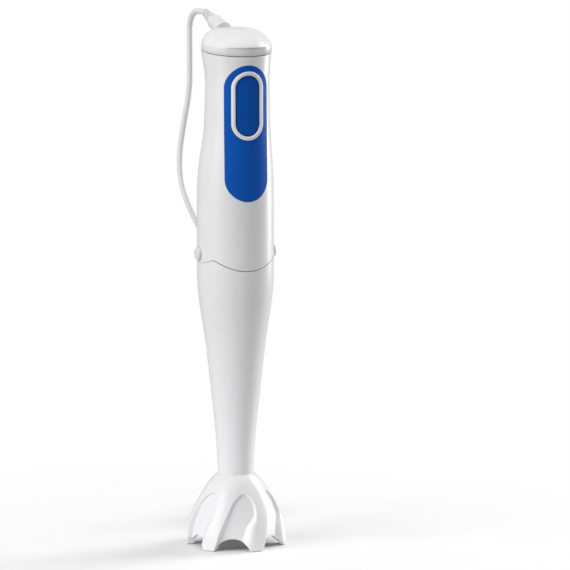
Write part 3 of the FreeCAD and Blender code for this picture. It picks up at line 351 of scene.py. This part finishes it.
def build_bell():
    angles = np.arange(BELL_STEPS) * 360 / BELL_STEPS
    level = np.zeros(BELL_STEPS)
    rim = bell_rim(angles, bell_outside(angles, level))
    rows = []
    rims = [(0.0, 0.45), (0.12, 0.14), (0.45, 0.0)]
    outer_shares = np.concatenate([np.linspace(0, 0.97, 130)[1:], [0.985, 0.997, 1.0]])
    inner_shares = np.concatenate([[0.999, 0.99, 0.97], np.linspace(0.94, 0, 34)])
    # the outside, from the neck down
    for share in outer_shares[::-1]:
        height = rim + 0.45 + (BELL_HEIGHT - rim - 0.45) * share
        rows.append(ring_points(bell_outside(angles, height), angles, height))
    # the rounded rim
    for inset, up in rims:
        height = rim + up
        rows.append(ring_points(bell_outside(angles, rim + 0.45) - inset, angles, height))
    at_rim = shrunk(bell_outside(angles, rim + 0.45), angles, BELL_WALL)
    for inset, up in rims[::-1]:
        rows.append(ring_points(at_rim + inset, angles, rim + up))
    # the inside up to the roof
    for share in inner_shares[::-1][1:]:
        height = rim + 0.45 + (ROOF_HEIGHT - rim - 0.45) * share
        rows.append(ring_points(shrunk(bell_outside(angles, height), angles, BELL_WALL), angles, height))
    # the roof, the boss with its seal, and the seat of the shaft
    last = shrunk(bell_outside(angles, level + ROOF_HEIGHT), angles, BELL_WALL)
    rows.append(ring_points(last - 0.3, angles, ROOF_HEIGHT))
    boss = [
        (10.6, 43.8), (10.25, 43.6), (10.2, 43.2), (10.2, 34.4), (10.05, 33.95), (9.6, 33.8),
        (6.0, 33.8), (5.5, 34.0), (5.4, 34.4), (5.4, 39.0), (7.0, 39.0), (7.0, 43.0), (7.8, 43.1),
        (7.8, 47.7), (8.0, 47.8), (11.6, 47.8),
    ]
    for radius, height in boss:
        rows.append(ring_points(level + radius, angles, height))
    points = [p for row in rows for p in row]
    faces = bands(rows)
    count = BELL_STEPS
    final = (len(rows) - 1) * count
    faces += [(final + i, final + (i + 1) % count, (i + 1) % count, i) for i in range(count)]
    piece("guard_bell", points, faces, "white_plastic", "blending_foot", "bell_guard")


# ---- the front of the handle ----


def slimmer(height):
    """How much less than at the seam the handle's radius is at a height."""
    share = (height - SEAM_FRONT) / (GRIP_TOP - SEAM_FRONT)
    shares = [s for s, _ in GRIP_CURVE]
    values = [v for _, v in GRIP_CURVE]
    slopes = np.gradient(values, shares)
    i = int(np.clip(np.searchsorted(shares, share) - 1, 0, len(shares) - 2))
    width = shares[i + 1] - shares[i]
    part = (share - shares[i]) / width
    return (
        values[i] * (1 + 2 * part) * (1 - part) ** 2
        + slopes[i] * width * part * (1 - part) ** 2
        + values[i + 1] * part ** 2 * (3 - 2 * part)
        - slopes[i + 1] * width * part ** 2 * (1 - part)
    )


def on_front(x, height, out):
    """A point over the handle's front surface."""
    less = slimmer(height)
    radius = BODY_RADIUS - less + out
    return (x, -less - math.sqrt(radius ** 2 - x ** 2), height)


def slot_outline(width, low, high, inset=0.0, arc=40, side=44):
    """Points round an upright slot shape, moved in by inset."""
    half = width / 2 - inset
    top = high - width / 2
    bottom = low + width / 2
    points = []
    for i in range(arc):
        angle = math.pi * i / arc
        points.append((half * math.cos(angle), top + half * math.sin(angle)))
    points += [(-half, top + (bottom - top) * i / side) for i in range(side)]
    for i in range(arc):
        angle = math.pi * (1 + i / arc)
        points.append((half * math.cos(angle), bottom + half * math.sin(angle)))
    points += [(half, bottom + (top - bottom) * i / side) for i in range(side)]
    return points


PANEL = (29.6, 230.7, 319.9)
BEZEL = (22.0, 270.9, 316.0)
BEZEL_BAND = 2.65


def build_panel():
    """The soft panel, rounded at its edge, with a hole for the button's ring."""
    profile = [(0.05, -0.9), (0.0, -0.05), (0.06, 0.12), (0.2, 0.22), (0.45, 0.26), (0.9, 0.26)]
    rows = [[on_front(x, z, out) for x, z in slot_outline(*PANEL, inset)] for inset, out in profile]
    start = slot_outline(*PANEL, profile[-1][0])
    hole = slot_outline(BEZEL[0] + 0.2, BEZEL[1] - 0.1, BEZEL[2] + 0.1)
    steps = 26
    for step in range(1, steps + 1):
        share = step / steps
        rows.append([
            on_front(a + (c - a) * share, b + (d - b) * share, 0.26) for (a, b), (c, d) in zip(start, hole)
        ])
    rows.append([on_front(x, z, -0.9) for x, z in hole])
    points = [p for row in rows for p in row]
    faces = bands(rows)
    count = len(rows[0])
    final = (len(rows) - 1) * count
    faces += [(final + i, final + (i + 1) % count, (i + 1) % count, i) for i in range(count)]
    piece("soft_panel", points, faces, "blue_grip", "handle", "grip_panel")


def build_ring():
    """The bright ring round the power button: a rounded band."""
    profile = [
        (0.0, -1.0), (0.0, 0.3), (0.1, 0.6), (0.32, 0.82), (0.65, 0.9), (1.3, 0.93),
        (1.95, 0.86), (2.3, 0.7), (2.53, 0.44), (2.65, 0.1), (2.65, -2.1),
    ]
    rows = [[on_front(x, z, out) for x, z in slot_outline(*BEZEL, inset)] for inset, out in profile]
    points = [p for row in rows for p in row]
    faces = bands(rows)
    count = len(rows[0])
    final = (len(rows) - 1) * count
    faces += [(final + i, final + (i + 1) % count, (i + 1) % count, i) for i in range(count)]
    piece("button_ring", points, faces, "silver_trim", "handle", "button_bezel")


def build_button():
    """The power button: a slot-shaped cap with a rounded edge and a shallow dish."""
    gap = BEZEL_BAND + 0.3
    width = BEZEL[0] - 2 * gap
    low = BEZEL[1] + gap
    high = BEZEL[2] - gap
    profile = [
        (0.0, -3.2), (0.0, -1.2), (0.08, -0.85), (0.3, -0.58), (0.7, -0.42), (1.3, -0.4),
        (2.1, -0.48), (3.2, -0.6), (4.6, -0.72), (6.2, -0.8), (7.6, -0.82),
    ]
    rows = [[on_front(x, z, out) for x, z in slot_outline(width, low, high, inset)] for inset, out in profile]
    points = [p for row in rows for p in row]
    faces = bands(rows)
    count = len(rows[0])
    final = (len(rows) - 1) * count
    arc, side = 40, 44
    pairs = [(i, (arc - i) % count) for i in range(arc // 2 + 1)]
    left = [final + arc // 2 + k for k in range(arc // 2 + side + arc // 2 + 1)]
    right = [final + (arc // 2 - k) % count for k in range(arc // 2 + side + arc // 2 + 1)]
    for k in range(len(left) - 1):
        quad = (left[k], left[k + 1], right[k + 1], right[k])
        faces.append(tuple(dict.fromkeys(quad)))
    faces.append(tuple(range(count))[::-1])
    piece("button_cap", points, faces, "blue_button", "power_button", "power_button")


# ---- the cap ----

CAP_RADIUS = 23.1
CAP_CENTRE = -2.9
CAP_SEAM = (325.8, 0.113)
CAP_LIP = (331.4, 0.045)
CAP_OVERHANG = 0.6
CAP_TOP = 342.7
CAP_WALL = 2.3
CAP_STEPS = 240


def rising(line, y):
    """A level on the front line that rises towards the back."""
    level, slope = line
    return level + slope * (y + BODY_RADIUS)


def cap_ring(radii, angles, height_at):
    """A closed row of the cap: radii round its own centre, and a height for each point's y."""
    turn = np.radians(angles)
    x = radii * np.sin(turn)
    y = CAP_CENTRE - radii * np.cos(turn)
    return list(zip(x, y, height_at(y, turn)))


def dome_height(share, inset):
    """Height over the lip's plane: rounder in front, squarer at the back."""
    def height(y, turn):
        lip = rising(CAP_LIP, y)
        rounder = smoothstep(np.cos(turn) + 0.5)
        fall = (1 - share ** (4.5 - 2.5 * rounder)) ** (1 / (1.6 - 0.35 * rounder))
        return lip + (CAP_TOP - rising(CAP_LIP, CAP_CENTRE) - inset) * fall
    return height


def build_cap():
    """The cap: a dome over a band, with a lip that stands over the band in front only."""
    angles = np.arange(CAP_STEPS) * 360 / CAP_STEPS
    front = smoothstep((np.cos(np.radians(angles)) - 0.78) / 0.15)
    full = np.full(CAP_STEPS, CAP_RADIUS)
    band = CAP_RADIUS - CAP_OVERHANG * front
    shares = np.sin(np.linspace(math.pi / 2, 0.03, 44))
    inner = CAP_RADIUS - CAP_WALL

    def at_seam(up):
        return lambda y, turn: rising(CAP_SEAM, y) + up

    def at_lip(down):
        return lambda y, turn: rising(CAP_LIP, y) - down

    rows = [
        cap_ring(band - 0.3, angles, at_seam(0.0)),
        cap_ring(band, angles, at_seam(0.3)),
        cap_ring(band, angles, at_lip(1.2)),
        cap_ring(band - 0.1 * front, angles, at_lip(0.45)),
        cap_ring(band - 0.3 * front, angles, at_lip(0.25)),
        cap_ring(full - 0.12 * front, angles, at_lip(0.22)),
        cap_ring(full, angles, at_lip(0.08)),
    ]
    rows += [cap_ring(full * share, angles, dome_height(share, 0.0)) for share in shares]
    rows += [
        cap_ring(full * share * inner / CAP_RADIUS, angles, dome_height(share, CAP_WALL))
        for share in shares[::-1]
    ]
    rows += [
        cap_ring(np.full(CAP_STEPS, inner), angles, at_seam(0.3)),
        cap_ring(np.full(CAP_STEPS, inner + 0.3), angles, at_seam(0.0)),
    ]
    points = [p for row in rows for p in row]
    outer_rows = 7 + len(shares)
    faces = bands(rows[:outer_rows])
    start = outer_rows * CAP_STEPS
    faces += [tuple(start + i for i in face) for face in bands(rows[outer_rows:])]
    faces.append(tuple(range(start - CAP_STEPS, start)))
    faces.append(tuple(range(start, start + CAP_STEPS))[::-1])
    last = len(points) - CAP_STEPS
    for i in range(CAP_STEPS):
        j = (i + 1) % CAP_STEPS
        faces.append((last + i, last + j, j, i))
    piece("cap_dome", points, faces, "white_plastic", "handle", "top_cap")


# ---- the mains cord ----


def hank_frame():
    """Where the hank starts on the floor, and its directions along and across."""
    near = Vector(CORD_ROUTE[-1])
    along = near - Vector(CORD_ROUTE[-2])
    along.z = 0
    along.normalize()
    across = Vector((-along.y, along.x, 0))
    return Vector((near.x, near.y, 0)), along, across


def in_hank(x, y, z):
    """A point of the hank's own frame: along it, across it and above the floor."""
    origin, along, across = hank_frame()
    return tuple(origin + along * x + across * y + Vector((0, 0, z)))


def half_turn(x, first, last, heights):
    """Points of a half turn between two lanes. It goes out past x when first is less than last."""
    middle = (first + last) / 2
    radius = (last - first) / 2
    points = []
    for i, height in enumerate(heights):
        angle = math.pi * i / (len(heights) - 1)
        points.append((x + radius * math.sin(angle), middle - radius * math.cos(angle), height))
    return points


LOW_LAYER = 2.1
HIGH_LAYER = 7.4
FAR_TURN = 79.0
OUTER_LANE = 12.9
INNER_LANE = 8.6
PLUG_REAR = 45.0
PLUG_MIDDLE = 16.2


def hank_route():
    """The folded cord: four laps in two layers, and the end that rises to the plug."""
    low = [LOW_LAYER] * 7
    high = [HIGH_LAYER] * 7
    route = [(10.0, -1.0, LOW_LAYER), (20.0, -5.4, LOW_LAYER), (30.0, -INNER_LANE, LOW_LAYER)]
    laps = [
        (INNER_LANE, low, 30.0, OUTER_LANE, [2.1, 3.9, 6.4, 7.2, 6.4, 3.9, 2.1]),
        (OUTER_LANE, low, 15.0, OUTER_LANE, [2.1, 3.4, 5.6, 7.4, 7.4, 7.4, 7.4]),
        (OUTER_LANE, high, 38.0, INNER_LANE, [7.4, 7.7, 7.9, 7.9, 7.8, 7.6, 7.4]),
    ]
    for lane, heights, near, next_lane, near_heights in laps:
        route += [(60.0, -lane, heights[0])]
        route += half_turn(FAR_TURN, -lane, lane, heights)
        route += [(60.0, lane, heights[0])]
        route += half_turn(near, lane, -next_lane, near_heights)
    route += [(60.0, -INNER_LANE, HIGH_LAYER)]
    route += half_turn(FAR_TURN, -INNER_LANE, INNER_LANE, high)
    route += [(70.0, 6.6, 8.0), (62.5, 4.0, 11.4), (55.5, 1.2, 15.4), (50.0, 0.0, PLUG_MIDDLE)]
    route += [(PLUG_REAR, 0.0, PLUG_MIDDLE)]
    return [in_hank(*p) for p in route]


def build_cord():
    curve = bpy.data.curves.new("mains_cord", "CURVE")
    curve.dimensions = "3D"
    curve.bevel_depth = CORD_RADIUS * MM
    curve.bevel_resolution = 8
    curve.resolution_u = 10
    curve.use_fill_caps = True
    spline = curve.splines.new("NURBS")
    route = CORD_ROUTE + hank_route()
    spline.points.add(len(route) - 1)
    for point, place in zip(spline.points, route):
        point.co = (*(Vector(place) * MM), 1.0)
    spline.order_u = 3
    spline.use_endpoint_u = True
    cord = bpy.data.objects.new("mains_cord", curve)
    bpy.context.scene.collection.objects.link(cord)
    curve.materials.append(MATERIALS["cord_white"])
    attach(cord, "handle")
    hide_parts("cord", "cord_hank")


# ---- floor and light ----


FLOOR_RADIUS = 0.75
FLOOR_CLEAR = 0.06
FLOOR_GONE = 0.34


def build_floor():
    """A pale round floor that fades into the white studio round it."""
    count = 96
    rim = [(math.cos(2 * math.pi * i / count), math.sin(2 * math.pi * i / count)) for i in range(count)]
    points = [(x * FLOOR_RADIUS, y * FLOOR_RADIUS, -0.0003) for x, y in rim]
    mesh = bpy.data.meshes.new("floor")
    mesh.from_pydata(points, [], [tuple(range(count))])
    floor = bpy.data.objects.new("floor", mesh)
    bpy.context.scene.collection.objects.link(floor)
    material = surface("floor", (0.93, 0.93, 0.935), (0.6, 0.75), 60, 0.0002, 0.01, patches=2.0)
    tree = material.node_tree
    shader = tree.nodes["Principled BSDF"]
    place = tree.nodes.new("ShaderNodeTexCoord").outputs["Object"]
    reach = node_in(tree, "ShaderNodeVectorMath", Vector=place)
    reach.operation = "LENGTH"
    shown = between(tree, reach.outputs["Value"], 1.0, 0.0, FLOOR_CLEAR, FLOOR_GONE)
    tree.links.new(shown, shader.inputs["Alpha"])
    mesh.materials.append(material)


def soft_box(name, azimuth, elevation, distance, width, height, power):
    """A large soft light that faces the middle of the blender."""
    light = bpy.data.lights.new(name, "AREA")
    light.shape = "RECTANGLE"
    light.size = width
    light.size_y = height
    light.energy = power
    item = bpy.data.objects.new(name, light)
    bpy.context.scene.collection.objects.link(item)
    turn, rise = math.radians(azimuth), math.radians(elevation)
    out = Vector((math.sin(turn) * math.cos(rise), -math.cos(turn) * math.cos(rise), math.sin(rise)))
    centre = Vector((0, 0, 0.17))
    item.location = centre + out * distance
    item.rotation_mode = "QUATERNION"
    item.rotation_quaternion = (-out).to_track_quat("-Z", "Y")


def build_light():
    world = bpy.data.worlds.new("studio")
    bpy.context.scene.world = world
    world.use_nodes = True
    tree = world.node_tree
    sky = tree.nodes["Background"]
    sky.inputs["Color"].default_value = (1.0, 1.0, 1.0, 1.0)
    sky.inputs["Strength"].default_value = 0.34
    white = node_in(tree, "ShaderNodeBackground", Color=(1.0, 1.0, 1.0, 1.0), Strength=1.0)
    mix = tree.nodes.new("ShaderNodeMixShader")
    tree.links.new(tree.nodes.new("ShaderNodeLightPath").outputs["Is Camera Ray"], mix.inputs[0])
    tree.links.new(sky.outputs[0], mix.inputs[1])
    tree.links.new(white.outputs[0], mix.inputs[2])
    tree.links.new(mix.outputs[0], tree.nodes["World Output"].inputs["Surface"])
    soft_box("key", -78, 24, 2.2, 1.6, 2.2, 33)
    soft_box("side", 101, 20, 2.2, 0.9, 2.2, 45)
    soft_box("top", 0, 84, 2.4, 2.4, 2.4, 18)
    bpy.context.scene.view_settings.view_transform = "Standard"


build_camera()
build_materials()
dress_nodes()
build_cord()
build_bell()
build_panel()
build_ring()
build_button()
build_cap()
build_floor()
build_light()
